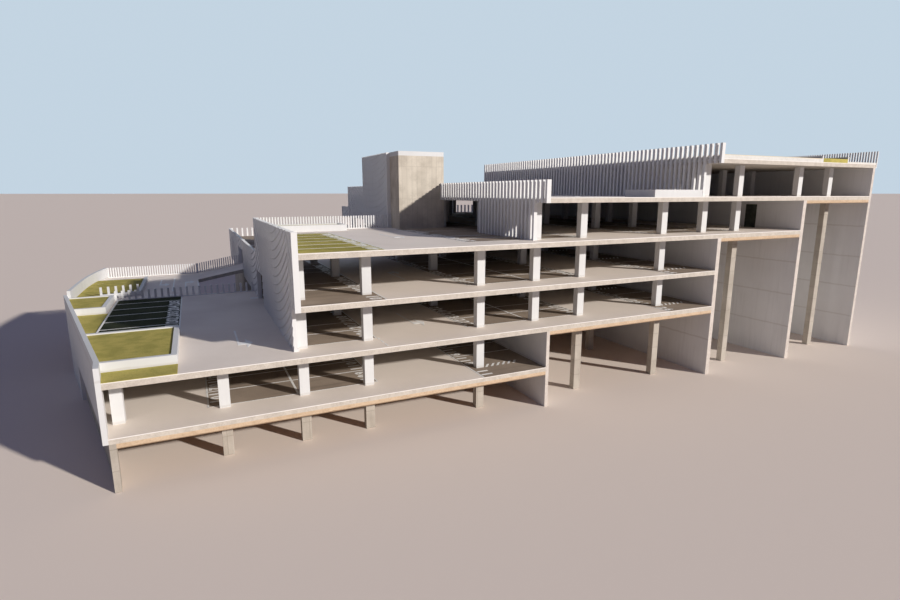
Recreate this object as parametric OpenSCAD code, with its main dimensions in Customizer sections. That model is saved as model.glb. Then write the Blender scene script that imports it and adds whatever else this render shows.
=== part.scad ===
// Multi storey car park stepping up a hillside, cut open along its front to show the parking levels.
// Scale model at 1:2. X runs uphill, Y into the building from the cut, Z up. Sizes in millimetres.

/* [Storeys] */
// Height from one parking floor to the next
storey_h = 1500; // [1250:10:1800]
// Depth of the foundations under the lowest floor
foundation_h = 1500; // [1250:10:1800]
// Thickness of a suspended floor
slab_t = 180; // [130:5:220]
// Thickness of the floor of the lowest level
ground_slab_t = 150; // [100:5:200]
// Thickness of the tan blinding layer under floors that lie on the ground
blinding_t = 140; // [80:5:200]

/* [Parking grid] */
// Length of a parking bay
bay_l = 2500; // [2080:10:3000]
// Width of a parking bay
bay_w = 1200; // [1000:10:1440]
// Width of the aisle between two double rows of bays
aisle_w = 3475; // [2900:5:4170]
// Distance from the left end of the lowest floor to the first double row
first_row_x = 2450; // [2050:10:2940]
// Distance from the cut front to the first line of columns
first_line_y = 975; // [400:5:1200]
// Width of the space for a column between two groups of three bays
column_space = 450; // [375:5:540]
// Depth of the building from the cut front to the back edge of its floors
floor_d = 27580; // [23000:10:33100]

/* [Columns] */
// Width of a column across the bays
column_w = 300; // [250:5:360]
// Depth of a column along the aisle
column_d = 250; // [200:5:300]
// Distance from the start of a double row to its first column's centre
head_inset = 375; // [310:5:450]
// Distance from the middle of a double row to its middle column's centre
middle_inset = 175; // [150:5:210]
// Distance from the end of a double row to its last column's centre
tail_inset = 250; // [210:5:300]

/* [Walls against the hill] */
// Length of the bays in front of the lower wall
lower_bay_l = 2525; // [2100:5:3030]
// Thickness of the lower wall
lower_wall_t = 130; // [110:5:160]
// Length of the bays in front of the middle wall
middle_bay_l = 2385; // [1990:5:2860]
// Thickness of the middle wall
middle_wall_t = 205; // [170:5:245]
// Width of the aisle in front of the upper wall
upper_aisle_w = 2700; // [2250:5:3240]
// Thickness of the upper wall
upper_wall_t = 215; // [180:5:260]
// Distance from the last row of bays to the top wall
top_bay_l = 4230; // [3525:5:5070]
// Thickness of the top wall
top_wall_t = 175; // [145:5:210]
// Thickness of the foundation walls
foundation_t = 160; // [130:5:190]
// Distance from the cut front to the door in the upper wall
door_y = 2200; // [1900:10:2600]
// Width of the door in the upper wall
door_w = 560; // [460:10:670]
// Height of the wall between that door and the floor above it
door_gap = 210; // [175:5:250]

/* [Terraces] */
// Depth of the lowest terrace
deck_d = 12000; // [10000:10:14400]
// Depth of the straight piece at the front of the left edge
kink_y = 650; // [540:10:780]
// Distance that the left edge leans out over its slanted length
lean_out = 2580; // [2150:10:3100]
// Distance that the left edge leans out over its front piece
kink_out = 70; // [50:5:90]
// Depth of the third level's open deck
upper_deck_d = 9850; // [8210:10:11820]
// Overhang of the fourth level past its first column
level_4_overhang = 35; // [20:5:60]
// Overhang of the roof past its first column
roof_overhang = 210; // [175:5:250]
// Depth of the roof
roof_d = 19350; // [16130:10:23220]
// Distance by which the fourth level stops short of the back edge
level_4_step = 1980; // [1650:10:2380]

/* [Access ramp] */
// Distance from the back of the lowest terrace to the ramp
ramp_gap = 5000; // [4170:10:6000]
// Width of the ramp
ramp_w = 2750; // [2300:10:3300]
// Length of the ramp
ramp_l = 8350; // [6960:10:10020]
// Radius of the curved end of the access deck
curve_r = 28000; // [24000:500:33000]
// Depth of the access deck's straight left edge behind the lowest terrace
curve_start = 2700; // [2250:10:3240]

/* [Garden on the access deck] */
// Distance from the back of the lowest terrace to the garden's kerb
garden_gap = 600; // [500:10:720]
// Depth of the garden behind its kerb
garden_d = 5400; // [4500:10:6000]
// Length of the kerb's front
garden_w = 1560; // [1300:10:1850]
// Skew of the kerb's front over its length
garden_skew = 350; // [0:10:420]
// Height of the garden's kerb
garden_kerb_h = 200; // [165:5:240]

/* [Ripples in the fin screens] */
// Height of one ripple
ripple_h = 300; // [250:10:360]
// Depth of the ripples in the fins' outer edges
ripple_d = 25; // [20:1:30]
// Depth of the faint ripples in the top screen and on the stair tower
faint_ripple_d = 12; // [10:1:15]
// Height of the short slope under each ripple
ripple_lip = 30; // [25:1:36]
// Length over which the hanging curves repeat
swag_l = 7750; // [6460:10:9300]
// Distance from the cut front to the lowest point of the first hanging curve
swag_y = 4700; // [3900:10:5640]
// Rise of a hanging curve a metre away from its lowest point
swag_rise = 78; // [65:1:94]

/* [Fin screens] */
// Largest distance between two fins
fin_pitch = 175; // [145:1:210]
// Largest distance between two fins of the fourth level's parapet and the top screen
open_pitch = 250; // [205:1:300]
// Width of a fin
fin_w = 110; // [90:1:130]
// Depth of a fin
fin_d = 130; // [105:1:155]
// Depth of the rails that carry the fins
rail_d = 40; // [30:1:50]
// Height of a rail
rail_h = 80; // [60:1:100]
// Height of a screen's top above the floor behind it
parapet_h = 600; // [500:5:720]
// Distance from the cut front to the storey-high part of a screen
skirt_y = 700; // [580:10:840]

/* [Low walls and fences] */
// Thickness of the left facade panel
panel_t = 130; // [100:5:155]
// Height of the left facade panel above the deck
panel_h = 400; // [330:5:480]
// Height of the curved parapet
curve_h = 565; // [470:5:680]
// Height of the deck fences
fence_h = 435; // [360:5:520]
// Distance between two fins of a close fence
fence_pitch = 120; // [100:1:144]
// Width and depth of a close fence's fin
fence_fin = 60; // [50:1:72]
// Distance between two fins of the fences on the lowest terrace and the garden
deck_fence_pitch = 250; // [205:1:300]
// Width of a fin of those fences
deck_fence_fin = 90; // [75:1:108]
// Height of the rail at a fence's foot
fence_rail_h = 40; // [34:1:48]
// Thickness of planter walls
planter_t = 150; // [120:5:180]
// Height of the deck planters
planter_h = 275; // [230:5:330]
// Drop from a planter's rim to the bed in it
bed_drop = 40; // [30:1:60]
// Thickness of the layers on the left part of the roof
roof_layer_t = 160; // [130:5:190]
// Thickness of the layer on the right part of the roof
thin_layer_t = 60; // [50:5:70]
// Depth of the green strip in front of a planter
strip_d = 920; // [760:5:1100]

/* [Stair tower] */
// Length over which the tower stands behind the third level's open deck
tower_lap = 1200; // [1000:10:1440]
// Width of the tower
tower_w = 2270; // [1900:10:2720]
// Depth of the tower
tower_d = 5250; // [4375:10:6300]
// Thickness of the tower's walls
tower_t = 125; // [100:5:150]
// Height of the tower's top above the roof
tower_top_h = 530; // [440:5:635]
// Height of the white band round the tower's top
tower_band_h = 200; // [160:5:240]

/* [Hidden] */

// Floor tops
lowest_z = foundation_h;
level_1_z = lowest_z + storey_h;
level_2_z = level_1_z + storey_h;
level_3_z = level_2_z + storey_h;
level_4_z = level_3_z + storey_h;
roof_z = level_4_z + storey_h;

// Starts of the double rows of bays, and the centres of the columns in them
row_pitch = 2 * bay_l + aisle_w;
bays_in_group = 3;
line_pitch = bays_in_group * bay_w + column_space;
function row_x(row) = first_row_x + row * row_pitch;
function head_x(row) = row_x(row) + head_inset;
function middle_x(row) = row_x(row) + bay_l + middle_inset;
function tail_x(row) = row_x(row) + 2 * bay_l - tail_inset;
function line_y(line) = first_line_y + line * line_pitch;
last_line = floor((floor_d - column_d - first_line_y) / line_pitch);
// The lines of columns that stand wholly between two depths
function lines(from, to) = [for (i = [0:last_line]) if (line_y(i) >= from && line_y(i) + column_d <= to) i];

// Inner faces of the walls against the hill
lower_wall_x = row_x(1) + lower_bay_l;
middle_wall_x = row_x(2) + middle_bay_l;
upper_wall_x = row_x(2) + 2 * bay_l + upper_aisle_w;
top_wall_x = row_x(3) + top_bay_l;
right_x = top_wall_x + top_wall_t;

// Left edges of the upper floors
middle_edge_x = middle_x(0) - column_w / 2;
level_4_edge_x = middle_x(1) - column_w / 2 - level_4_overhang;
roof_edge_x = middle_x(2) - column_w / 2 - roof_overhang;
tower_x = level_4_edge_x - tower_w;
tower_y = upper_deck_d - tower_lap;
tower_back_y = tower_y + tower_d;
level_4_d = floor_d - level_4_step;

// The left edge of the lowest terrace
lean = lean_out / (deck_d - kink_y);
function left_x(y) = y < kink_y ? -kink_out * y / kink_y : -kink_out - (y - kink_y) * lean;
deck_corner_x = left_x(deck_d);

// The access deck and the ramp behind it
well_x = first_row_x;
ramp_y = deck_d + ramp_gap;
garden_y = deck_d + garden_gap;
access_back_y = ramp_y + ramp_w;
ramp_rise = storey_h / ramp_l;
curve_y = deck_d + curve_start;
function curve_x(y) = deck_corner_x + curve_r - sqrt(curve_r * curve_r - pow(max(y - curve_y, 0), 2));
curve_steps = 12;
curve_step = (access_back_y - curve_y) / curve_steps;
curve_pts = [for (i = [0:curve_steps]) let (y = curve_y + i * curve_step) [curve_x(y), y]];

screen_t = fin_d + rail_d;
fence_t = fence_fin + rail_d;
wall_back_y = floor_d - foundation_t;

// The frame's origin is under the middle of the whole building
left_out = deck_corner_x - panel_t;
right_out = right_x + fence_t;
total_d = floor_d + screen_t;
module centred() translate([-(left_out + right_out) / 2, -total_d / 2, 0]) children();

// A block from two corners
module block(from, to) translate(from) cube(to - from);

// A flat piece that stands on z
module linear_extrude_at(z, t) translate([0, 0, z]) linear_extrude(t) children();

// A flat piece with its top at z
module plate(z, t, outline) translate([0, 0, z - t]) linear_extrude(t) polygon(outline);

// Columns at each x between two depths, from z0 to z1
module columns(xs, from, to, z0, z1)
    for (x = xs)
        for (line = lines(from, to))
            block([x - column_w / 2, line_y(line), z0], [x + column_w / 2, line_y(line) + column_d, z1]);

// Columns that keep clear of the ramp
module columns_beside_ramp(xs, to, z0, z1)
    for (x = xs)
        if (x - column_w / 2 < well_x + ramp_l) {
            columns([x], 0, min(ramp_y, to), z0, z1);
            columns([x], access_back_y, to, z0, z1);
        } else {
            columns([x], 0, to, z0, z1);
        }

// How far a ripple is lifted at a distance from the cut front: nested curves that hang like swags
function swag(y) =
    let (from_low = y - swag_y - swag_l * round((y - swag_y) / swag_l))
    swag_rise * pow(from_low / 1000, 2);

// Depth of a fin's outer edge at height z: it leans out down each ripple, then steps back under the lip
function edge_depth(z, lift, depth) =
    let (up = z - lift - ripple_h * floor((z - lift) / ripple_h), lean = ripple_h - ripple_lip)
    up < lean ? screen_t - depth * up / lean : screen_t - depth * (ripple_h - up) / ripple_lip;
function edge_points(z0, z1, lift, depth) = depth == 0 ? [] : [
    for (n = [floor((z0 - lift) / ripple_h):floor((z1 - lift) / ripple_h)])
        for (z = [lift + n * ripple_h, lift + (n + 1) * ripple_h - ripple_lip])
            if (z > z0 + 5 && z < z1 - 5) [-edge_depth(z, lift, depth), z]];

// One fin at y, from z0 to z1, with its back on the rails or, for an end fin, on what carries the screen
module fin(y, z0, z1, place, back, depth)
    let (lift = swag(place + y))
        translate([0, y + fin_w, 0]) rotate([90, 0, 0]) linear_extrude(fin_w)
            polygon(concat([[-back, z1], [-back, z0], [-edge_depth(z0, lift, depth), z0]],
                edge_points(z0, z1, lift, depth), [[-edge_depth(z1, lift, depth), z1]]));

// A screen of upright fins on level rails, running along Y from the origin, with its back at x = 0.
// place is how far its start lies from the cut front, which sets its ripples; the end fins have none.
// Between the two lengths in skirt its fins reach down to skirt_z, on one more rail
module fin_screen(l, z0, z1, rails, place = 0, depth = ripple_d, skirt_z = 0, skirt = [0, 0],
        pitch = fin_pitch) {
    count = ceil((l - fin_w) / pitch);
    step = (l - fin_w) / count;
    first = round(skirt[0] / step);
    last = round((skirt[1] - fin_w) / step);
    for (i = [0:count])
        fin(i * step, skirt[1] > 0 && i >= first && i <= last ? skirt_z : z0, z1, place,
            i == 0 || i == count ? 0 : rail_d, i == 0 || i == count ? 0 : depth);
    for (z = rails)
        translate([-rail_d, 0, z])
            cube([rail_d, l, rail_h]);
    if (skirt[1] > 0)
        translate([-rail_d, first * step, skirt_z])
            cube([rail_d, (last - first) * step + fin_w, rail_h]);
}

// A fence of short fins with a low rail behind their feet, along Y from the origin, with its back at x = 0
module fin_fence(l, h, pitch = fence_pitch, w = fence_fin) {
    count = floor((l - w) / pitch);
    step = (l - w) / count;
    for (i = [0:count])
        translate([-fence_fin - rail_d, i * step, 0])
            cube([fence_fin, w, h]);
    translate([-rail_d, 0, 0])
        cube([rail_d, l, fence_rail_h]);
}

// Floors
module lowest_floor() color("wheat") centred()
    plate(lowest_z, ground_slab_t, [
        [0, 0], [left_x(kink_y), kink_y], [left_x(deck_d - foundation_t), deck_d - foundation_t],
        [lower_wall_x, deck_d - foundation_t], [lower_wall_x, 0]]);

module level_1_floor() color("wheat") centred()
    plate(level_1_z, slab_t, [
        [0, 0], [left_x(kink_y), kink_y], [deck_corner_x, deck_d],
        [middle_edge_x, deck_d], [middle_edge_x, floor_d], [middle_wall_x, floor_d], [middle_wall_x, 0]]);

module level_2_floor() color("wheat") centred()
    plate(level_2_z, slab_t, [
        [middle_edge_x, 0], [middle_edge_x, ramp_y], [well_x + ramp_l, ramp_y],
        [well_x + ramp_l, access_back_y], [middle_edge_x, access_back_y],
        [middle_edge_x, floor_d], [middle_wall_x, floor_d], [middle_wall_x, 0]]);

module level_3_floor() color("wheat") centred()
    plate(level_3_z, slab_t, [
        [middle_edge_x, 0], [middle_edge_x, upper_deck_d], [tower_x, upper_deck_d], [tower_x, tower_back_y],
        [level_4_edge_x, tower_back_y], [level_4_edge_x, floor_d], [upper_wall_x, floor_d], [upper_wall_x, 0]]);

module level_4_floor() color("wheat") centred()
    plate(level_4_z, slab_t, [
        [level_4_edge_x, 0], [level_4_edge_x, level_4_d], [top_wall_x, level_4_d], [top_wall_x, 0]]);

module roof_slab() color("wheat") centred()
    plate(roof_z, slab_t, [
        [roof_edge_x, 0], [roof_edge_x, roof_d], [right_x, roof_d], [right_x, 0]]);

// The tan layer under each floor that lies on the ground
module blinding() color("tan") centred() {
    plate(lowest_z - ground_slab_t, blinding_t, [
        [foundation_t, 0], [left_x(kink_y) + foundation_t, kink_y],
        [left_x(deck_d - foundation_t) + foundation_t, deck_d - foundation_t],
        [lower_wall_x, deck_d - foundation_t], [lower_wall_x, 0]]);
    plate(level_1_z - slab_t, blinding_t, [
        [lower_wall_x + lower_wall_t, 0], [lower_wall_x + lower_wall_t, deck_d],
        [middle_edge_x + foundation_t, deck_d], [middle_edge_x + foundation_t, wall_back_y],
        [middle_wall_x, wall_back_y], [middle_wall_x, 0]]);
    plate(level_3_z - slab_t, blinding_t, [
        [middle_wall_x + middle_wall_t, 0], [middle_wall_x + middle_wall_t, wall_back_y],
        [upper_wall_x, wall_back_y], [upper_wall_x, 0]]);
    plate(level_4_z - slab_t, blinding_t, [
        [upper_wall_x + upper_wall_t, 0], [upper_wall_x + upper_wall_t, level_4_d - foundation_t],
        [top_wall_x, level_4_d - foundation_t], [top_wall_x, 0]]);
}

// Foundation walls
module terrace_foundation() color("wheat") centred() {
    plate(lowest_z - ground_slab_t, lowest_z - ground_slab_t, [
        [0, 0], [left_x(kink_y), kink_y], [left_x(deck_d - foundation_t), deck_d - foundation_t],
        [left_x(deck_d - foundation_t) + foundation_t, deck_d - foundation_t],
        [left_x(kink_y) + foundation_t, kink_y], [foundation_t, 0]]);
    plate(level_1_z - slab_t, level_1_z - slab_t, [
        [left_x(deck_d - foundation_t), deck_d - foundation_t], [deck_corner_x, deck_d],
        [lower_wall_x, deck_d], [lower_wall_x, deck_d - foundation_t]]);
}

module access_deck_walls() color("wheat") centred()
    linear_extrude(level_1_z - slab_t) difference() {
        polygon(concat([[deck_corner_x, deck_d]], curve_pts, [[well_x, access_back_y], [well_x, deck_d]]));
        intersection() {
            polygon(concat([[deck_corner_x + foundation_t, 0]],
                [for (p = curve_pts) [p[0] + foundation_t, p[1]]],
                [[well_x - foundation_t, access_back_y], [well_x - foundation_t, 0]]));
            translate([left_out, 0]) square([right_out, access_back_y - foundation_t]);
        }
    }

module rear_foundation() color("wheat") centred() {
    block([middle_edge_x, deck_d, 0], [middle_edge_x + foundation_t, wall_back_y, level_1_z - slab_t]);
    block([middle_edge_x, wall_back_y, 0], [middle_wall_x, floor_d, level_1_z - slab_t]);
    block([middle_wall_x + middle_wall_t, wall_back_y, 0], [upper_wall_x, floor_d, level_3_z - slab_t]);
    block([upper_wall_x + upper_wall_t, level_4_d - foundation_t, 0], [top_wall_x, level_4_d, level_4_z - slab_t]);
}

module foundation_piers() color("wheat") centred() {
    half = column_w / 2;
    deep_z = level_1_z - slab_t - blinding_t;
    terrace_back = deck_d - foundation_t;
    columns([head_x(0), middle_x(0), tail_x(0), head_x(1)], 0, terrace_back,
        0, lowest_z - ground_slab_t - blinding_t);
    columns([middle_x(0) + foundation_t, tail_x(0), head_x(1)], deck_d, wall_back_y, 0, deep_z);
    columns([lower_wall_x + lower_wall_t + half, tail_x(1), head_x(2)], 0, wall_back_y, 0, deep_z);
    columns([middle_wall_x + middle_wall_t + half, tail_x(2)], 0, wall_back_y, 0, level_3_z - slab_t - blinding_t);
    columns([upper_wall_x + upper_wall_t + half, middle_x(3)], 0, level_4_d - foundation_t,
        0, level_4_z - slab_t - blinding_t);
}

// Walls against the hill
module lower_wall() color("lavender") centred()
    block([lower_wall_x, 0, 0], [lower_wall_x + lower_wall_t, deck_d, level_1_z - slab_t]);

module middle_wall() color("lavender") centred()
    block([middle_wall_x, 0, 0], [middle_wall_x + middle_wall_t, floor_d, level_3_z - slab_t]);

module upper_wall() color("lavender") centred()
    block([upper_wall_x, 0, 0], [upper_wall_x + upper_wall_t, floor_d, level_4_z - slab_t]);

door_t = 30;
door_h = storey_h - slab_t - door_gap;
module wall_door() color("dimgray") centred()
    block([upper_wall_x - door_t, door_y, level_3_z], [upper_wall_x, door_y + door_w, level_3_z + door_h]);

module top_wall() color("lavender") centred()
    translate([top_wall_x, 0, 0]) rotate([90, 0, 90]) linear_extrude(top_wall_t)
        polygon([[0, 0], [level_4_d, 0], [level_4_d, level_4_z], [roof_d, level_4_z],
            [roof_d, roof_z - slab_t], [0, roof_z - slab_t]]);

// Columns
edge_inset = 145;
module lowest_columns() color("white") centred() {
    columns([head_x(0), middle_x(0), tail_x(0), head_x(1)], 0, deck_d - foundation_t, lowest_z, level_1_z - slab_t);
    for (line = lines(0, deck_d - foundation_t))
        translate([left_x(line_y(line)) + edge_inset, line_y(line), lowest_z])
            cube([column_w, column_d, storey_h - slab_t]);
}

module level_1_columns() color("white") centred()
    columns_beside_ramp([middle_x(0), tail_x(0), head_x(1), middle_x(1), tail_x(1), head_x(2)],
        floor_d, level_1_z, level_2_z - slab_t);

module level_2_columns() color("white") centred() {
    top_z = level_3_z - slab_t;
    columns([middle_x(0), tail_x(0)], 0, upper_deck_d, level_2_z, top_z);
    columns_beside_ramp([head_x(1)], tower_back_y, level_2_z, top_z);
    columns([middle_x(1), tail_x(1), head_x(2)], 0, floor_d, level_2_z, top_z);
}

module level_3_columns() color("white") centred()
    columns([middle_x(1), tail_x(1), head_x(2), middle_x(2), tail_x(2)], 0, level_4_d, level_3_z, level_4_z - slab_t);

module level_4_columns() color("white") centred()
    columns([middle_x(2), tail_x(2), head_x(3), middle_x(3)], 0, roof_d, level_4_z, roof_z - slab_t);

// The white panel outside the left edge, which reaches the ground behind the deck's middle
deep_panel_y = deck_d - 4000;
module left_facade() color("whitesmoke") centred() {
    plate(level_1_z + panel_h, storey_h + panel_h + ground_slab_t, [
        [0, 0], [left_x(kink_y), kink_y], [deck_corner_x, deck_d],
        [deck_corner_x - panel_t, deck_d], [left_x(kink_y) - panel_t, kink_y], [-panel_t, 0]]);
    plate(lowest_z - ground_slab_t, lowest_z - ground_slab_t, [
        [left_x(deep_panel_y), deep_panel_y], [deck_corner_x, deck_d],
        [deck_corner_x - panel_t, deck_d], [left_x(deep_panel_y) - panel_t, deep_panel_y]]);
}

// Planters of the lowest terrace
planter_x = first_row_x - 735;
planter_back_y = 4650;
module front_bed(inset, past = 0)
    polygon([[left_x(strip_d + inset) - past, strip_d + inset],
        [left_x(planter_back_y - inset) - past, planter_back_y - inset],
        [planter_x - inset, planter_back_y - inset], [planter_x - inset, strip_d + inset]]);
module front_planter() color("whitesmoke") centred()
    translate([0, 0, level_1_z]) linear_extrude(planter_h) difference() {
        front_bed(0);
        front_bed(planter_t, planter_t);
    }

corner_planter_x = planter_x - bay_l - planter_t;
corner_planter_y = deck_d - 2880;
module corner_bed(inset, past = 0)
    polygon([[left_x(corner_planter_y + inset) - past, corner_planter_y + inset],
        [left_x(deck_d - inset) - past, deck_d - inset],
        [corner_planter_x - inset, deck_d - inset], [corner_planter_x - inset, corner_planter_y + inset]]);
module corner_planter() color("whitesmoke") centred()
    translate([0, 0, level_1_z]) linear_extrude(planter_h) difference() {
        corner_bed(0);
        corner_bed(planter_t, planter_t);
    }

// A straight planter's wall, and the bed in it
module planter_wall(l, d) linear_extrude(planter_h) difference() {
    square([l, d]);
    translate([planter_t, planter_t]) square([l - 2 * planter_t, d - 2 * planter_t]);
}
module bed(l, d) translate([planter_t, planter_t, 0])
    cube([l - 2 * planter_t, d - 2 * planter_t, planter_h - bed_drop]);
module planting_beds() color("olivedrab") centred() {
    linear_extrude_at(level_1_z, planter_h - bed_drop) {
        front_bed(planter_t);
        corner_bed(planter_t);
    }
    linear_extrude_at(level_1_z, garden_kerb_h / 2) polygon(concat(
        [[garden_x - planter_t, garden_y + garden_skew + planter_t], [garden_x - garden_w, garden_y + planter_t]],
        [[deck_corner_x + panel_t, garden_y + planter_t]],
        [for (p = curve_pts) if (p[1] < garden_y + garden_d) [p[0] + panel_t, p[1]]],
        [[curve_x(garden_y + garden_d) + panel_t + 1, garden_y + garden_d],
            [garden_x - planter_t, garden_y + garden_d]]));
    translate([middle_edge_x, level_3_planter_y, level_3_z]) bed(level_3_planter_l, level_3_planter_d);
    translate([level_4_planter_x, 0, level_4_z]) bed(level_4_planter_l, level_4_planter_d);
    translate([roof_planter_x + roof_planter_t, 0, roof_z])
        cube([roof_planter_l - 2 * roof_planter_t, roof_planter_d - roof_planter_t, roof_bed_t]);
}

module curved_parapet() color("whitesmoke") centred()
    translate([0, 0, level_1_z]) linear_extrude(curve_h)
        polygon(concat([[deck_corner_x, deck_d]], curve_pts,
            [for (i = [curve_steps:-1:0]) [curve_pts[i][0] + panel_t, curve_pts[i][1]]],
            [[deck_corner_x + panel_t, deck_d]]));

module deck_fence() color("white") centred()
    translate([corner_planter_x, deck_d - fence_t, level_1_z]) rotate(-90)
        fin_fence(middle_edge_x - corner_planter_x - screen_t, fence_h, deck_fence_pitch, deck_fence_fin);

// Access deck and ramp
module access_deck() color("wheat") centred()
    plate(level_1_z, slab_t, concat([[deck_corner_x, deck_d]], curve_pts,
        [[well_x, access_back_y], [well_x, deck_d]]));

module access_ramp() color("wheat") centred()
    translate([well_x, access_back_y, level_1_z]) rotate([90, 0, 0]) linear_extrude(ramp_w)
        polygon([[0, -slab_t], [0, 0], [ramp_l, storey_h], [ramp_l, storey_h - slab_t]]);

module access_fence() color("white") centred()
    translate([curve_pts[curve_steps][0] + panel_t, access_back_y - fence_t, level_1_z]) rotate(-90)
        fin_fence(well_x - curve_pts[curve_steps][0] - panel_t, curve_h);

// The ramp's fence rises with it, up to the screen that the ramp goes through
ramp_fence_l = middle_edge_x - screen_t - well_x;
module ramp_slanted(x, l, z, h) translate([x, 0, z]) rotate([90, 0, 0]) linear_extrude(fence_fin)
    polygon([[0, x * ramp_rise], [l, (x + l) * ramp_rise], [l, (x + l) * ramp_rise + h], [0, x * ramp_rise + h]]);
module ramp_fence() color("white") centred()
    translate([well_x, access_back_y, level_1_z]) {
        count = floor((ramp_fence_l - fence_fin) / fence_pitch);
        for (i = [0:count])
            ramp_slanted(i * (ramp_fence_l - fence_fin) / count, fence_fin, 0, curve_h);
        translate([0, -fence_fin, 0]) ramp_slanted(0, ramp_fence_l, fence_rail_h, fence_rail_h);
    }

// A skewed kerb with short fins on it, and its return along the access deck
garden_x = well_x - 2450;
module garden_kerb() color("whitesmoke") centred() {
    linear_extrude_at(level_1_z, garden_kerb_h) polygon([
        [garden_x - garden_w, garden_y], [garden_x, garden_y + garden_skew], [garden_x, garden_y + garden_d],
        [garden_x - planter_t, garden_y + garden_d], [garden_x - planter_t, garden_y + garden_skew + planter_t],
        [garden_x - garden_w, garden_y + planter_t]]);
    count = floor((garden_w - deck_fence_fin) / deck_fence_pitch);
    for (i = [0:count])
        let (x = i * (garden_w - planter_t) / count)
            translate([garden_x - garden_w + x, garden_y + garden_skew * x / garden_w + planter_t / 3, level_1_z])
                cube([deck_fence_fin, fence_fin, fence_h + garden_kerb_h / 2]);
}

// Fin screens
// The lower storey of the main screen runs from near the first columns to a wide doorway at its far end
doorway_w = 1880;
module wave_facade() color("white") centred()
    translate([middle_edge_x, 0, 0])
        fin_screen(upper_deck_d, level_2_z - slab_t, level_3_z + parapet_h,
            [level_2_z - rail_h, level_3_z - rail_h],
            0, ripple_d, level_1_z, [skirt_y, upper_deck_d - doorway_w]);

module rear_facade() color("white") centred()
    translate([middle_edge_x, 0, 0]) {
        translate([0, upper_deck_d, 0])
            fin_screen(ramp_y - upper_deck_d, level_1_z, level_2_z + parapet_h,
                [level_1_z, level_2_z - rail_h], upper_deck_d);
        translate([0, ramp_y, 0])
            fin_screen(ramp_w, level_2_z, level_2_z + parapet_h, [level_2_z + rail_h], ramp_y);
        translate([0, access_back_y, 0])
            fin_screen(floor_d - access_back_y, level_1_z, level_2_z + parapet_h,
                [level_1_z, level_2_z - rail_h], access_back_y);
    }

// Third level
level_3_planter_l = 3650;
level_3_planter_d = 1150;
level_3_planter_y = upper_deck_d - level_3_planter_d - fence_t;
module level_3_fence() color("white") centred()
    translate([middle_edge_x, upper_deck_d - fence_t, level_3_z]) rotate(-90)
        fin_fence(tower_x - middle_edge_x, parapet_h);

// Stair tower
tower_top_z = roof_z + tower_top_h;
tower_door_w = 500;
tower_door_h = door_h - 60;
module tower_walls() color("tan") centred()
    difference() {
        linear_extrude_at(level_3_z, tower_top_z - tower_band_h - level_3_z) difference() {
            translate([tower_x, tower_y]) square([tower_w, tower_d]);
            translate([tower_x + tower_t, tower_y + tower_t]) square([tower_w - 2 * tower_t, tower_d - 2 * tower_t]);
        }
        for (z = [level_3_z, level_4_z])
            translate([level_4_edge_x - 2 * tower_t, tower_y + (tower_d - tower_door_w) / 2, z])
                cube([3 * tower_t, tower_door_w, tower_door_h]);
    }

module tower_cap() color("whitesmoke") centred()
    block([tower_x, tower_y, tower_top_z - tower_band_h], [level_4_edge_x, tower_y + tower_d, tower_top_z]);

module tower_fins() color("white") centred()
    translate([tower_x, upper_deck_d, 0])
        fin_screen(tower_back_y - upper_deck_d, level_3_z, tower_top_z,
            [level_3_z, level_4_z, roof_z], upper_deck_d, faint_ripple_d);

// The screen behind the stair tower, two storeys high as far as the fourth level goes
module side_screen() color("white") centred()
    translate([level_4_edge_x, 0, 0]) {
        translate([0, tower_back_y, 0])
            fin_screen(level_4_d - tower_back_y, level_3_z - slab_t, level_4_z + parapet_h,
                [level_3_z - rail_h, level_4_z - rail_h], tower_back_y);
        translate([0, level_4_d, 0])
            fin_screen(floor_d - level_4_d, level_3_z - slab_t, level_3_z + parapet_h,
                [level_3_z - rail_h], level_4_d);
    }

// Fourth level, where the parapet's first fins reach down to the third level's floor
module level_4_parapet() color("white") centred()
    translate([level_4_edge_x, 0, 0])
        fin_screen(tower_y, level_4_z - slab_t, level_4_z + parapet_h,
            [level_4_z - rail_h], 0, 0, level_3_z, [skirt_y, line_y(1) - column_d], open_pitch);

module top_facade() color("white") centred()
    translate([roof_edge_x, 0, 0])
        fin_screen(roof_d, roof_z - slab_t, roof_z + parapet_h,
            [roof_z - rail_h], 0, faint_ripple_d, level_4_z, [skirt_y, roof_d], open_pitch);

// Planters of the third and fourth levels and of the roof, where the cut front goes through one
level_4_planter_l = 2500;
level_4_planter_d = 1565;
level_4_planter_gap = 910;
level_4_planter_x = roof_edge_x - screen_t - level_4_planter_gap - level_4_planter_l;
roof_planter_x = row_x(3) + 170;
roof_planter_l = 2010;
roof_planter_d = 1565;
roof_planter_t = 90;
roof_planter_h = 270;
roof_bed_t = 170;
module upper_planters() color("whitesmoke") centred() {
    translate([middle_edge_x, level_3_planter_y, level_3_z]) planter_wall(level_3_planter_l, level_3_planter_d);
    translate([level_4_planter_x, 0, level_4_z]) planter_wall(level_4_planter_l, level_4_planter_d);
    translate([roof_planter_x, 0, roof_z]) linear_extrude(roof_planter_h) difference() {
        square([roof_planter_l, roof_planter_d]);
        translate([roof_planter_t, 0]) square([roof_planter_l - 2 * roof_planter_t, roof_planter_d - roof_planter_t]);
    }
}

// Roof
module roof_layers() color("beige") centred() {
    linear_extrude_at(roof_z, roof_layer_t) polygon([[roof_edge_x, 0], [roof_planter_x, 0],
        [roof_planter_x, roof_d], [roof_edge_x, roof_d]]);
    linear_extrude_at(roof_z, thin_layer_t) polygon([
        [roof_planter_x + roof_planter_l, 0], [right_x, 0], [right_x, roof_d], [roof_planter_x, roof_d],
        [roof_planter_x, roof_planter_d], [roof_planter_x + roof_planter_l, roof_planter_d]]);
}

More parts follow.
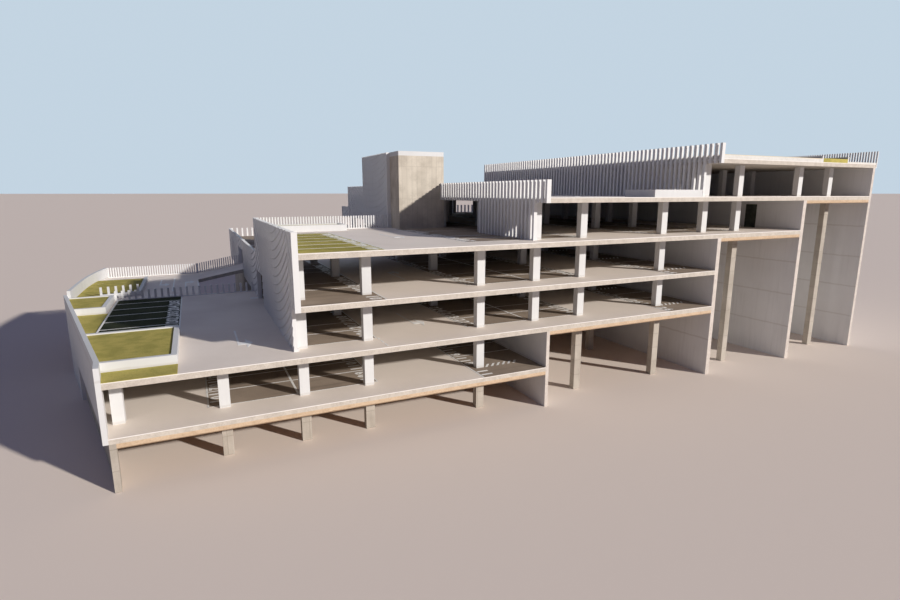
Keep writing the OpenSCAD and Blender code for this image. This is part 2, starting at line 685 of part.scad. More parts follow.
module roof_end_fence() color("white") centred()
    translate([right_x + fence_t, 0, roof_z - slab_t]) mirror([1, 0, 0])
        translate([fence_t, 0, 0]) fin_fence(roof_d, slab_t + parapet_h);

// Plain fins at the unseen back of each level and of the roof
back_pitch = 2 * fin_pitch;
module plain_screen(l, z0, z1, rails) {
    count = ceil((l - fin_w) / back_pitch);
    for (i = [0:count])
        translate([-screen_t, i * (l - fin_w) / count, z0])
            cube([fin_d, fin_w, z1 - z0]);
    for (z = rails)
        translate([-rail_d, 0, z])
            cube([rail_d, l, rail_h]);
}
module back_screens() color("white") centred() {
    for (s = [
            [middle_edge_x, middle_wall_x, level_1_z, floor_d],
            [middle_edge_x, middle_wall_x, level_2_z, floor_d],
            [level_4_edge_x, upper_wall_x, level_3_z, floor_d],
            [level_4_edge_x, right_x, level_4_z, level_4_d]])
        translate([s[1], s[3], 0]) rotate(90) mirror([1, 0, 0])
            plain_screen(s[1] - s[0], s[2] - slab_t, s[2] + parapet_h, [s[2] - rail_h]);
    translate([right_x, roof_d, 0]) rotate(90) mirror([1, 0, 0])
        plain_screen(right_x - roof_edge_x, level_4_z, roof_z + parapet_h, [level_4_z, roof_z - rail_h]);
}

lowest_floor();
level_1_floor();
level_2_floor();
level_3_floor();
level_4_floor();
roof_slab();
roof_layers();
blinding();
terrace_foundation();
access_deck_walls();
rear_foundation();
lower_wall();
middle_wall();
upper_wall();
top_wall();
wall_door();
foundation_piers();
lowest_columns();
level_1_columns();
level_2_columns();
level_3_columns();
level_4_columns();
left_facade();
front_planter();
corner_planter();
planting_beds();
deck_fence();
access_deck();
curved_parapet();
garden_kerb();
access_fence();
access_ramp();
ramp_fence();
wave_facade();
rear_facade();
level_3_fence();
tower_walls();
tower_fins();
tower_cap();
level_4_parapet();
side_screen();
top_facade();
upper_planters();
roof_end_fence();
back_screens();
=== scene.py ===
import math
import bpy
import numpy as np
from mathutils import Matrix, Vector


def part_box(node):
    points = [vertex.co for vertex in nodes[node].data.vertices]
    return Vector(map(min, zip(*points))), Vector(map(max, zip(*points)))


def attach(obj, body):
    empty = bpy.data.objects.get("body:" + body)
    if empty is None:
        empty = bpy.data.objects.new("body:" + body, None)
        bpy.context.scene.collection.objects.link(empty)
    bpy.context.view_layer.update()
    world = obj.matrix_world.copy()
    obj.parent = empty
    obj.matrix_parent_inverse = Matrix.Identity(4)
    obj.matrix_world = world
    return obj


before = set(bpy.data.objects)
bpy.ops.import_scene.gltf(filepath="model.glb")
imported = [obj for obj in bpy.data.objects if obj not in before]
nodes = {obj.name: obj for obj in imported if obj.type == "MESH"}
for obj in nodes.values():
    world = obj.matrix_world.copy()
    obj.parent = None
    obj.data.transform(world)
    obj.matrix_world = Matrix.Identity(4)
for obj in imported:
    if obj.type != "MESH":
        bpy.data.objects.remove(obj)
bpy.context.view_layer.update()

print("stage: frame loaded,", len(nodes), "nodes")

# The building's plan in metres, from the cut front and the left edge of the lowest floor. Rows of bays run
# away from the cut front, each with a low and a high half beside its middle line. Columns stand in lines
# across the rows.
plan = {
    "centreX": 14.8, "centreY": 13.875,
    "storey": 1.5, "lowestFloor": 1.5, "lowestSlab": 0.15, "slab": 0.18,
    "firstRow": 2.45, "bayLength": 2.5, "bayWidth": 1.2, "aisle": 3.475,
    "firstColumn": 0.975, "columnDepth": 0.25, "columnLines": 7, "linePitch": 4.05, "baysInGroup": 3,
}
rowPitch = 2 * plan["bayLength"] + plan["aisle"]


def floorZ(level):
    return plan["lowestFloor"] + level * plan["storey"]


def toFrame(points):  # plan positions to the frame's origin, under the middle of the building
    points = np.array(points, float)
    points[..., 0] -= plan["centreX"]
    points[..., 1] -= plan["centreY"]
    return points


def rgba(color):
    return (*color, 1.0)


def darker(color, factor):
    return tuple(channel * factor for channel in color)


# Nodes of materials

def fillInputs(tree, made, inputs):  # a socket is linked, and any other value is set
    for socket, value in dict(inputs).items():
        if isinstance(value, bpy.types.NodeSocket):
            tree.links.new(value, made.inputs[socket])
        else:
            made.inputs[socket].default_value = value


def addNode(tree, kind, inputs=(), **settings):
    made = tree.nodes.new(kind)
    for key, value in settings.items():
        setattr(made, key, value)
    fillInputs(tree, made, inputs)
    return made


def useGroup(tree, group, inputs=()):
    made = tree.nodes.new("ShaderNodeGroup")
    made.node_tree = group
    fillInputs(tree, made, inputs)
    return made.outputs


def mathNode(tree, operation, a, b=0.0, clamp=False):
    return addNode(tree, "ShaderNodeMath", {0: a, 1: b}, operation=operation, use_clamp=clamp).outputs[0]


def mixColor(tree, factor, a, b):
    return addNode(tree, "ShaderNodeMix", {"Factor": factor, 6: a, 7: b}, data_type="RGBA").outputs[2]


def remap(tree, value, low, high, to0=0.0, to1=1.0, smooth=False):
    made = addNode(tree, "ShaderNodeMapRange", {0: value, 1: low, 2: high, 3: to0, 4: to1})
    made.interpolation_type = "SMOOTHSTEP" if smooth else "LINEAR"
    return made.outputs[0]


def newGroup(name, inputs, outputs):  # colours are tuples, and the output named Color is one
    tree = bpy.data.node_groups.new(name, "ShaderNodeTree")
    for label, value in inputs.items():
        kind = "NodeSocketColor" if isinstance(value, tuple) else "NodeSocketFloat"
        tree.interface.new_socket(label, in_out="INPUT", socket_type=kind).default_value = value
    for label in outputs:
        kind = "NodeSocketColor" if label == "Color" else "NodeSocketFloat"
        tree.interface.new_socket(label, in_out="OUTPUT", socket_type=kind)
    return tree, addNode(tree, "NodeGroupInput").outputs, addNode(tree, "NodeGroupOutput").inputs


def objectPosition(tree, scale=(1, 1, 1)):
    position = addNode(tree, "ShaderNodeTexCoord").outputs["Object"]
    return addNode(tree, "ShaderNodeMapping", {"Vector": position, "Scale": scale}).outputs[0]


def axes(tree, vector):  # x, y and z of a vector
    return addNode(tree, "ShaderNodeSeparateXYZ", {0: vector}).outputs


def noise(tree, position, scale, detail=3.0, rough=0.55):
    sockets = {"Vector": position, "Scale": scale, "Detail": detail, "Roughness": rough}
    return addNode(tree, "ShaderNodeTexNoise", sockets).outputs["Fac"]


# What the finishes share. Levels are where a noise starts to count and where it counts in full, a stretch
# draws it out upright, and a share is how much of a face's normal has to point that way.
pattern = {
    "patchLevels": (0.35, 0.68), "patchDetail": 4.0,
    "grainLevels": (0.42, 0.72), "grainDetail": 2.0, "grainRough": 0.7,
    "runLevels": (0.46, 0.74), "runDetail": 3.0, "runRough": 0.6, "runStretch": (1, 1, 0.06),
    "wetLevels": (0.35, 0.65), "wetDetail": 2.0, "wetScale": 0.5, "waverScale": 3.0,
    "levelShare": 0.5, "frontShare": 0.9, "sideShare": 0.7,
    "woodScale": 60.0, "woodDetail": 2.0, "woodStretch": (1, 1, 0.1), "woodAmount": 0.35, "boardAmount": 0.5,
}


def makeCloudGroup():  # slow patches, as concrete and paint dry unevenly, with a fine grain on top
    tree, given, out = newGroup("cloudyTone", {"Light": (1.0, 1.0, 1.0, 1.0), "Dark": (0.5, 0.5, 0.5, 1.0),
                                               "Patch": 1.0, "Grain": 30.0, "Contrast": 0.5, "Grit": 0.2},
                                ("Color", "Mask", "Height"))
    position = objectPosition(tree)
    patch = noise(tree, position, given["Patch"], pattern["patchDetail"])
    patch = remap(tree, patch, *pattern["patchLevels"], smooth=True)
    grain = noise(tree, position, given["Grain"], pattern["grainDetail"], pattern["grainRough"])
    amount = mathNode(tree, "MULTIPLY", patch, given["Contrast"])
    gritty = mathNode(tree, "MULTIPLY", remap(tree, grain, *pattern["grainLevels"]), given["Grit"])
    amount = mathNode(tree, "ADD", amount, gritty, clamp=True)
    tree.links.new(mixColor(tree, amount, given["Light"], given["Dark"]), out["Color"])
    tree.links.new(amount, out["Mask"])
    tree.links.new(grain, out["Height"])
    return tree


def makeStreakGroup():  # upright runs of rain and dust
    tree, given, out = newGroup("rainStreaks", {"Amount": 0.3, "Fineness": 9.0}, ("Mask",))
    drawn = objectPosition(tree, pattern["runStretch"])
    runs = noise(tree, drawn, given["Fineness"], pattern["runDetail"], pattern["runRough"])
    runs = remap(tree, runs, *pattern["runLevels"])
    wet = noise(tree, objectPosition(tree), pattern["wetScale"], pattern["wetDetail"])
    wet = remap(tree, wet, *pattern["wetLevels"])
    mask = mathNode(tree, "MULTIPLY", runs, wet)
    tree.links.new(mathNode(tree, "MULTIPLY", mask, given["Amount"]), out["Mask"])
    return tree


def makeBandGroup():  # 1 between two heights, 0 outside them, with an edge that wavers a little
    tree, given, out = newGroup("heightBand", {"From": 0.0, "To": 1.0, "Soft": 0.01, "Waver": 0.0}, ("Mask",))
    position = objectPosition(tree)
    shift = mathNode(tree, "SUBTRACT", noise(tree, position, pattern["waverScale"]), 0.5)
    height = mathNode(tree, "ADD", axes(tree, position)[2], mathNode(tree, "MULTIPLY", shift, given["Waver"]))
    above = mathNode(tree, "SUBTRACT", height, given["From"])
    below = mathNode(tree, "SUBTRACT", given["To"], height)
    rise = mathNode(tree, "DIVIDE", above, given["Soft"], clamp=True)
    fall = mathNode(tree, "DIVIDE", below, given["Soft"], clamp=True)
    tree.links.new(mathNode(tree, "MULTIPLY", rise, fall), out["Mask"])
    return tree


def makeSideGroup():  # which way a face looks, and the level distance along an upright face
    tree, given, out = newGroup("facing", {}, ("Upright", "Under", "Front", "Along"))
    coordinates = addNode(tree, "ShaderNodeTexCoord")
    normal = axes(tree, coordinates.outputs["Normal"])
    place = axes(tree, coordinates.outputs["Object"])
    upwards = mathNode(tree, "ABSOLUTE", normal[2])
    tree.links.new(mathNode(tree, "LESS_THAN", upwards, pattern["levelShare"]), out["Upright"])
    tree.links.new(mathNode(tree, "LESS_THAN", normal[2], -pattern["levelShare"]), out["Under"])
    tree.links.new(mathNode(tree, "LESS_THAN", normal[1], -pattern["frontShare"]), out["Front"])
    facesX = mathNode(tree, "GREATER_THAN", mathNode(tree, "ABSOLUTE", normal[0]), pattern["sideShare"])
    along = addNode(tree, "ShaderNodeMix", {0: facesX, 2: place[0], 3: place[1]}, data_type="FLOAT")
    tree.links.new(along.outputs[0], out["Along"])
    return tree


def makeBoardGroup():  # upright boards of formwork: a joint and a tone for each, and a joint at each lift
    tree, given, out = newGroup("boardMarks", {"Along": 0.0, "Board": 0.1, "Lift": 1.2, "Joint": 0.006},
                                ("Joints", "Tone", "Height"))
    count = mathNode(tree, "DIVIDE", given["Along"], given["Board"])
    lift = mathNode(tree, "DIVIDE", axes(tree, objectPosition(tree))[2], given["Lift"])
    corner = {0: mathNode(tree, "FLOOR", count), 1: mathNode(tree, "FLOOR", lift)}
    cell = addNode(tree, "ShaderNodeCombineXYZ", corner).outputs[0]
    tone = addNode(tree, "ShaderNodeTexWhiteNoise", {"Vector": cell}, noise_dimensions="3D").outputs["Value"]
    joints = []
    for part, size in ((count, given["Board"]), (lift, given["Lift"])):
        away = mathNode(tree, "ABSOLUTE", mathNode(tree, "SUBTRACT", mathNode(tree, "FRACT", part), 0.5))
        away = mathNode(tree, "MULTIPLY", mathNode(tree, "SUBTRACT", 0.5, away), size)
        joints.append(mathNode(tree, "LESS_THAN", away, given["Joint"]))
    joint = mathNode(tree, "MAXIMUM", joints[0], joints[1])
    tree.links.new(joint, out["Joints"])
    tree.links.new(tone, out["Tone"])
    wood = objectPosition(tree, pattern["woodStretch"])
    wood = noise(tree, wood, pattern["woodScale"], pattern["woodDetail"])
    wood = mathNode(tree, "MULTIPLY", wood, pattern["woodAmount"])
    tilt = mathNode(tree, "MULTIPLY", tone, pattern["boardAmount"])
    tree.links.new(mathNode(tree, "SUBTRACT", mathNode(tree, "ADD", tilt, wood), joint), out["Height"])
    return tree


cloudGroup = makeCloudGroup()
streakGroup = makeStreakGroup()
bandGroup = makeBandGroup()
sideGroup = makeSideGroup()
boardGroup = makeBoardGroup()


def cloudyTone(tree, own):  # the group with the values of one finish
    values = {label: own[label.lower()] for label in ("Patch", "Grain", "Contrast", "Grit")}
    return useGroup(tree, cloudGroup, dict(values, Light=rgba(own["light"]), Dark=rgba(own["dark"])))


def startMaterial(name, specular=0.35):
    material = bpy.data.materials.new(name)
    material.use_nodes = True
    shader = material.node_tree.nodes["Principled BSDF"]
    shader.inputs["Specular IOR Level"].default_value = specular
    return material, material.node_tree, shader


def finishMaterial(tree, shader, color, rough, height, bump):  # bump is strength and distance
    raised = addNode(tree, "ShaderNodeBump", {"Height": height, "Strength": bump[0], "Distance": bump[1]})
    fillInputs(tree, shader, {"Base Color": color, "Roughness": rough, "Normal": raised.outputs[0]})


# Floated concrete on top, bare cast concrete on the soffit and the cut edge, and along its top a lighter band
# that is a painted highlight where light catches the arris
concrete = {
    "top": {"light": (0.90, 0.805, 0.72), "dark": (0.80, 0.71, 0.625), "patch": 0.55, "grain": 14.0,
            "contrast": 0.45, "grit": 0.12},
    "cut": {"light": (0.60, 0.54, 0.47), "dark": (0.42, 0.37, 0.315), "patch": 5.0, "grain": 26.0,
            "contrast": 0.45, "grit": 0.55},
    "soffit": {"light": (0.50, 0.47, 0.42), "dark": (0.35, 0.329, 0.294), "patch": 0.8, "grain": 20.0,
               "contrast": 0.4, "grit": 0.15},
    "arris": (0.84, 0.81, 0.77), "arrisHeight": 0.022, "arrisOver": 1.0, "arrisSoft": 0.004,
    "arrisWaver": 0.006,
    "rough": (0.62, 0.85), "bump": (0.25, 0.004),
}

# Gravel on the roof, with a tan arris
gravel = dict(concrete,
              top=dict(concrete["top"], light=(0.60, 0.53, 0.40), dark=(0.45, 0.39, 0.29), patch=1.5),
              cut=dict(concrete["cut"], light=(0.72, 0.70, 0.66), dark=(0.58, 0.56, 0.52)),
              arris=(0.66, 0.55, 0.36))


def floorMaterial(name, own, top=None):  # top is the height of the floor, and a ramp has none
    material, tree, shader = startMaterial(name)
    side = useGroup(tree, sideGroup)
    floated, cut, under = (cloudyTone(tree, own[key]) for key in ("top", "cut", "soffit"))
    color = mixColor(tree, side["Upright"], floated["Color"], cut["Color"])
    color = mixColor(tree, side["Under"], color, under["Color"])
    # The top edge of each upright face takes the arris colour: on concrete a lighter band, a painted
    # highlight; on the roof gravel it is the gravel's own tan
    if top is not None:
        arris = useGroup(tree, bandGroup, {"From": top - own["arrisHeight"], "To": top + own["arrisOver"],
                                           "Soft": own["arrisSoft"], "Waver": own["arrisWaver"]})
        edge = mathNode(tree, "MULTIPLY", arris["Mask"], side["Upright"])
        color = mixColor(tree, edge, color, rgba(own["arris"]))
    rough = remap(tree, floated["Mask"], 0.0, 1.0, *own["rough"])
    finishMaterial(tree, shader, color, rough, cut["Height"], own["bump"])
    return material


# White render and paint on walls, columns and planters, with splashed dust just above each floor. Where the
# section goes through a wall, its front is bare concrete.
render = {
    "light": (0.66, 0.66, 0.66), "dark": (0.585, 0.58, 0.57), "patch": 0.9, "grain": 45.0, "contrast": 0.28,
    "grit": 0.10, "runs": 7.0, "runsDark": 0.75, "rough": (0.55, 0.75), "bump": (0.15, 0.003),
    "dirt": (0.40, 0.36, 0.31), "dirtFrom": -0.01, "dirtTo": 0.09, "dirtSoft": 0.05, "dirtWaver": 0.07,
    "dirtAmount": 0.35,
    "cut": dict(concrete["cut"], light=(0.65, 0.585, 0.53), dark=(0.48, 0.42, 0.375)),
    "wallTone": 1.2, "wallStreaks": 0.3, "columnStreaks": 0.15, "outsideStreaks": 0.22, "kerbStreaks": 0.2,
}


def renderMaterial(name, streaks, feet=(), cutFront=False, tone=1.0):
    light, dark = darker(render["light"], tone), darker(render["dark"], tone)
    material, tree, shader = startMaterial(name)
    cloud = cloudyTone(tree, dict(render, light=light, dark=dark))
    runs = useGroup(tree, streakGroup, {"Amount": streaks, "Fineness": render["runs"]})
    color = mixColor(tree, runs["Mask"], cloud["Color"], rgba(darker(dark, render["runsDark"])))
    for foot in feet:
        splash = useGroup(tree, bandGroup, {"From": foot + render["dirtFrom"], "To": foot + render["dirtTo"],
                                            "Soft": render["dirtSoft"], "Waver": render["dirtWaver"]})
        amount = mathNode(tree, "MULTIPLY", splash["Mask"], render["dirtAmount"])
        color = mixColor(tree, amount, color, rgba(render["dirt"]))
    if cutFront:
        bare = cloudyTone(tree, render["cut"])
        color = mixColor(tree, useGroup(tree, sideGroup)["Front"], color, bare["Color"])
    rough = remap(tree, cloud["Mask"], 0.0, 1.0, *render["rough"])
    finishMaterial(tree, shader, color, rough, cloud["Height"], render["bump"])
    return material


# Satin white fins: each has its own slight tone and rain has run down them. The ends that face the cut front,
# which the sun strikes, are painted a darker grey as painted shade
fins = {
    "light": (0.82, 0.815, 0.81), "dark": (0.70, 0.69, 0.68), "end": (0.715, 0.71, 0.705), "patch": 1.3,
    "grain": 60.0, "contrast": 0.2, "grit": 0.06, "pitch": 0.0875, "tone": 0.22, "runs": 14.0,
    "runsAmount": 0.35, "runsDark": 0.8, "roughTo": 0.4, "rough": (0.36, 0.55), "bump": (0.08, 0.002),
}


def finMaterial(name):
    material, tree, shader = startMaterial(name)
    place = axes(tree, objectPosition(tree))
    number = mathNode(tree, "DIVIDE", mathNode(tree, "ADD", place[0], place[1]), fins["pitch"])
    number = mathNode(tree, "FLOOR", number)
    tone = addNode(tree, "ShaderNodeTexWhiteNoise", {"W": number}, noise_dimensions="1D").outputs["Value"]
    cloud = cloudyTone(tree, fins)
    runs = useGroup(tree, streakGroup, {"Amount": fins["runsAmount"], "Fineness": fins["runs"]})
    tone = mathNode(tree, "MULTIPLY", tone, fins["tone"])
    color = mixColor(tree, tone, cloud["Color"], rgba(fins["dark"]))
    color = mixColor(tree, runs["Mask"], color, rgba(darker(fins["dark"], fins["runsDark"])))
    # Painted shade: faces turned to the cut front, where the sun strikes, take the darker end grey
    color = mixColor(tree, useGroup(tree, sideGroup)["Front"], color, rgba(fins["end"]))
    rough = remap(tree, cloud["Mask"], 0.0, fins["roughTo"], *fins["rough"])
    finishMaterial(tree, shader, color, rough, cloud["Height"], fins["bump"])
    return material


# Board-marked concrete of the stair tower and the foundations
boards = {
    "tower": {"light": (0.67, 0.605, 0.51), "dark": (0.46, 0.41, 0.34), "stain": (0.33, 0.30, 0.25),
              "patch": 1.3, "board": 0.25, "lift": 1.475, "joint": 0.006, "runs": 0.4},
    "foundation": {"light": (0.50, 0.45, 0.39), "dark": (0.36, 0.32, 0.27), "stain": (0.22, 0.18, 0.14),
                   "patch": 1.1, "board": 0.6, "lift": 0.6, "joint": 0.008, "runs": 0.3},
    "grain": 30.0, "contrast": 0.75, "grit": 0.35, "fineness": 6.0, "tone": 0.35, "jointStain": 0.5,
    "rough": (0.75, 0.95), "bump": (0.5, 0.006),
}


def boardMaterial(name, key):
    own = dict(boards, **boards[key])
    material, tree, shader = startMaterial(name)
    side = useGroup(tree, sideGroup)
    marks = useGroup(tree, boardGroup, {"Along": side["Along"], "Board": own["board"], "Lift": own["lift"],
                                        "Joint": own["joint"]})
    cloud = cloudyTone(tree, own)
    runs = useGroup(tree, streakGroup, {"Amount": own["runs"], "Fineness": own["fineness"]})
    tone = mathNode(tree, "MULTIPLY", marks["Tone"], own["tone"])
    color = mixColor(tree, tone, cloud["Color"], rgba(own["dark"]))
    color = mixColor(tree, runs["Mask"], color, rgba(own["stain"]))
    joint = mathNode(tree, "MULTIPLY", marks["Joints"], side["Upright"])
    color = mixColor(tree, mathNode(tree, "MULTIPLY", joint, own["jointStain"]), color, rgba(own["stain"]))
    rough = remap(tree, cloud["Mask"], 0.0, 1.0, *own["rough"])
    finishMaterial(tree, shader, color, rough, marks["Height"], own["bump"])
    return material


# Tan lean concrete under the floors, with a damp band that starts and ends below the top of each layer
groundLayer = {
    "light": (0.64, 0.48, 0.33), "dark": (0.44, 0.31, 0.20), "patch": 3.0, "grain": 22.0, "contrast": 0.4,
    "grit": 0.5, "damp": (0.16, 0.09, 0.05), "dampFrom": 0.105, "dampTo": 0.16, "dampSoft": 0.02,
    "dampWaver": 0.05, "dampAmount": 0.75, "rough": (0.85, 0.98), "bump": (0.6, 0.01),
}


def groundLayerMaterial(name, own, tops):
    material, tree, shader = startMaterial(name)
    cloud = cloudyTone(tree, own)
    color = cloud["Color"]
    for top in tops:
        low = useGroup(tree, bandGroup, {"From": top - own["dampTo"], "To": top - own["dampFrom"],
                                         "Soft": own["dampSoft"], "Waver": own["dampWaver"]})
        amount = mathNode(tree, "MULTIPLY", low["Mask"], own["dampAmount"])
        color = mixColor(tree, amount, color, rgba(own["damp"]))
    rough = remap(tree, cloud["Mask"], 0.0, 1.0, *own["rough"])
    finishMaterial(tree, shader, color, rough, cloud["Height"], own["bump"])
    return material


# Beds of the planters, strips and green bays on the decks, green bays painted near black as painted shade
# where they lie in shade, and a near-black panel painted as the shade in a doorway
green = {
    "bed": {"light": (0.58, 0.49, 0.145), "dark": (0.33, 0.30, 0.078), "patch": 2.2, "grain": 34.0},
    "strip": {"light": (0.58, 0.49, 0.145), "dark": (0.33, 0.30, 0.078), "patch": 1.2, "grain": 34.0},
    "lawnBays": {"light": (0.55, 0.465, 0.135), "dark": (0.31, 0.28, 0.068), "patch": 1.4, "grain": 40.0},
    # Lawn bays that lie in shade: their green is painted near black, a painted shade
    "lawnBaysPaintedShade": {"light": (0.030, 0.034, 0.018), "dark": (0.013, 0.016, 0.008), "patch": 1.8, "grain": 36.0},
}
matt = {"contrast": 0.55, "grit": 0.65, "specular": 0.08, "rough": (0.88, 1.0), "bump": (0.9, 0.02)}
# The door's near-black is painted shade, standing for the dark inside a doorway
doorwayPaintedShade = {"light": (0.060, 0.066, 0.052), "dark": (0.026, 0.030, 0.024), "patch": 4.0, "grain": 60.0,
             "contrast": 0.8, "grit": 0.3, "specular": 0.35, "rough": (0.4, 0.7), "bump": (0.2, 0.002)}


def evenMaterial(name, own):
    material, tree, shader = startMaterial(name, own["specular"])
    cloud = cloudyTone(tree, own)
    rough = remap(tree, cloud["Mask"], 0.0, 1.0, *own["rough"])
    finishMaterial(tree, shader, cloud["Color"], rough, cloud["Height"], own["bump"])
    return material


# Asphalt of the bays, with worn tracks along them
asphalt = {
    "light": (0.38, 0.305, 0.24), "dark": (0.27, 0.215, 0.17), "patch": 0.8, "grain": 40.0, "contrast": 0.5,
    "grit": 0.6, "tracks": 0.8, "tracksDetail": 2.0, "tracksStretch": (0.25, 3.2, 1), "tracksDark": 0.6,
    "wornLevels": (0.52, 0.75), "worn": 0.5, "smoothLevels": (0.4, 0.8), "rough": (0.9, 0.7),
    "specular": 0.1, "bump": (0.6, 0.004),
}


def asphaltMaterial(name):
    material, tree, shader = startMaterial(name, asphalt["specular"])
    cloud = cloudyTone(tree, asphalt)
    drawn = objectPosition(tree, asphalt["tracksStretch"])
    tracks = noise(tree, drawn, asphalt["tracks"], asphalt["tracksDetail"])
    worn = remap(tree, tracks, *asphalt["wornLevels"], 0.0, asphalt["worn"])
    color = mixColor(tree, worn, cloud["Color"], rgba(darker(asphalt["dark"], asphalt["tracksDark"])))
    rough = remap(tree, tracks, *asphalt["smoothLevels"], *asphalt["rough"])
    finishMaterial(tree, shader, color, rough, cloud["Height"], asphalt["bump"])
    return material


# White paint of lines, numbers and arrows, rubbed through to grey here and there
whitePaint = {
    "light": (0.97, 0.96, 0.94), "dark": (0.82, 0.80, 0.77), "patch": 2.5, "grain": 50.0, "contrast": 0.4,
    "grit": 0.3, "under": (0.30, 0.28, 0.25), "rubs": 6.0, "rubsDetail": 5.0, "rubsRough": 0.75,
    "rubbedLevels": (0.64, 0.76), "rubbed": 0.45, "roughTo": 0.7, "rough": (0.5, 0.85), "bump": (0.3, 0.002),
}


def roadPaintMaterial(name):
    material, tree, shader = startMaterial(name)
    cloud = cloudyTone(tree, whitePaint)
    position = objectPosition(tree)
    rubs = noise(tree, position, whitePaint["rubs"], whitePaint["rubsDetail"], whitePaint["rubsRough"])
    rubbed = remap(tree, rubs, *whitePaint["rubbedLevels"], 0.0, whitePaint["rubbed"])
    color = mixColor(tree, rubbed, cloud["Color"], rgba(whitePaint["under"]))
    rough = remap(tree, rubbed, 0.0, whitePaint["roughTo"], *whitePaint["rough"])
    finishMaterial(tree, shader, color, rough, cloud["Height"], whitePaint["bump"])
    return material


def dress(material, *nodeNames):
    for nodeName in nodeNames:
        mesh = nodes[nodeName].data
        if len(mesh.materials) == 0:
            mesh.materials.append(material)
        for slot in nodes[nodeName].material_slots:
            slot.material = material


def dressNodes():
    floors = ("lowest_floor", "level_1_floor", "level_2_floor", "level_3_floor", "level_4_floor", "roof_slab")
    for level, nodeName in enumerate(floors):
        dress(floorMaterial("concrete_" + nodeName, concrete, floorZ(level)), nodeName)
    dress(bpy.data.materials["concrete_level_1_floor"], "access_deck")
    dress(floorMaterial("concreteRamp", concrete), "access_ramp")
    dress(floorMaterial("roofGravel", gravel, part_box("roof_layers")[1].z), "roof_layers")
    feet = [floorZ(level) for level in range(5)]
    walls = renderMaterial("wallRender", render["wallStreaks"], feet, cutFront=True, tone=render["wallTone"])
    dress(walls, "lower_wall", "middle_wall", "upper_wall", "top_wall")
    dress(renderMaterial("columnPaint", render["columnStreaks"], feet),
          "lowest_columns", "level_1_columns", "level_2_columns", "level_3_columns", "level_4_columns")
    dress(renderMaterial("outsideRender", render["outsideStreaks"], [floorZ(1)]),
          "left_facade", "front_planter", "corner_planter", "curved_parapet", "garden_kerb", "upper_planters",
          "tower_cap")
    dress(finMaterial("finPaint"),
          "deck_fence", "access_fence", "ramp_fence", "wave_facade", "rear_facade", "level_3_fence",
          "tower_fins", "level_4_parapet", "side_screen", "top_facade", "roof_end_fence", "back_screens")
    dress(boardMaterial("foundationConcrete", "foundation"),
          "terrace_foundation", "access_deck_walls", "rear_foundation", "foundation_piers")
    dress(boardMaterial("towerConcrete", "tower"), "tower_walls")
    layerTops = [floorZ(0) - plan["lowestSlab"]] + [floorZ(level) - plan["slab"] for level in (1, 3, 4)]
    dress(groundLayerMaterial("groundLayer", groundLayer, layerTops), "blinding")
    dress(evenMaterial("bedCover", dict(matt, **green["bed"])), "planting_beds")
    # A near-black panel painted as the shade of a doorway
    dress(evenMaterial("doorwayPaintedShade", doorwayPaintedShade), "wall_door")


dressNodes()
coverings = {key: evenMaterial(key, dict(matt, **green[key])) for key in ("lawnBays", "lawnBaysPaintedShade")}
coverings["asphalt"] = asphaltMaterial("bayAsphalt")
greenStrip = evenMaterial("greenStrip", dict(matt, **green["strip"]))
roadPaint = roadPaintMaterial("roadPaint")
print("stage: nodes dressed")


# New pieces

def addMesh(name, mesh, material):  # mesh is points and triangles
    points, faces = mesh
    data = bpy.data.meshes.new(name)
    data.from_pydata(points.tolist(), [], faces.tolist())
    data.materials.append(material)
    data.update()
    piece = bpy.data.objects.new(name, data)
    bpy.context.scene.collection.objects.link(piece)
    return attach(piece, "root")


# Closed thin plates. Each outline, n corners anticlockwise, stands at two heights: a point is (x, y, bottom)
# or (x, y, top), a fan from the first corner fills each face, and the sides join a corner to the next one.
def platesMesh(outlines, bottom, top):
    outlines = toFrame(outlines)
    count, corners = outlines.shape[:2]
    low = np.concatenate([outlines, np.full((count, corners, 1), bottom)], axis=2)
    high = np.concatenate([outlines, np.full((count, corners, 1), top)], axis=2)
    points = np.concatenate([low, high], axis=1).reshape(-1, 3)
    start = (np.arange(count) * 2 * corners)[:, None]
    ring = np.arange(corners)
    following = (ring + 1) % corners
    fanLow = np.stack([np.zeros(corners - 2, int), ring[2:], ring[1:-1]], axis=1)
    fanHigh = np.stack([np.zeros(corners - 2, int), ring[1:-1], ring[2:]], axis=1) + corners
    sides = np.concatenate([np.stack([ring, following, following + corners], axis=1),
                            np.stack([ring, following + corners, ring + corners], axis=1)])
    faces = np.concatenate([fanLow, fanHigh, sides])
    return points, (faces[None] + start[:, :, None]).reshape(-1, 3)


def joinMeshes(meshes):  # several (points, faces) as one
    offsets = np.cumsum([0] + [len(points) for points, _ in meshes[:-1]])
    points = np.concatenate([points for points, _ in meshes])
    return points, np.concatenate([faces + offset for (_, faces), offset in zip(meshes, offsets)])


def rectangles(boxes):  # [x0, y0, x1, y1] as corners, anticlockwise
    return np.array(boxes, float)[:, [[0, 1], [2, 1], [2, 3], [0, 3]]]


# Coats and paint on the floors. Each is sunk into what lies under it, and heights are above the floor.
paint = {
    "sink": 0.001, "coat": 0.003, "line": 0.0055, "strip": 0.012,
    "lineWidth": 0.05, "middleWidth": 0.07, "frontWidth": 0.035, "lineInset": 0.02, "endInset": 0.01,
    "numberHeight": 0.42, "numberWidth": 1.0, "numberBold": 0.04, "digitWide": 1.2, "headGap": 0.08,
}


def addPaint(name, outlines, level, overCoat=False):  # paint lies on the bare floor or on a coat
    bottom = floorZ(level) + (paint["sink"] if overCoat else -paint["sink"])
    addMesh(name, platesMesh(outlines, bottom, floorZ(level) + paint["line"]), roadPaint)


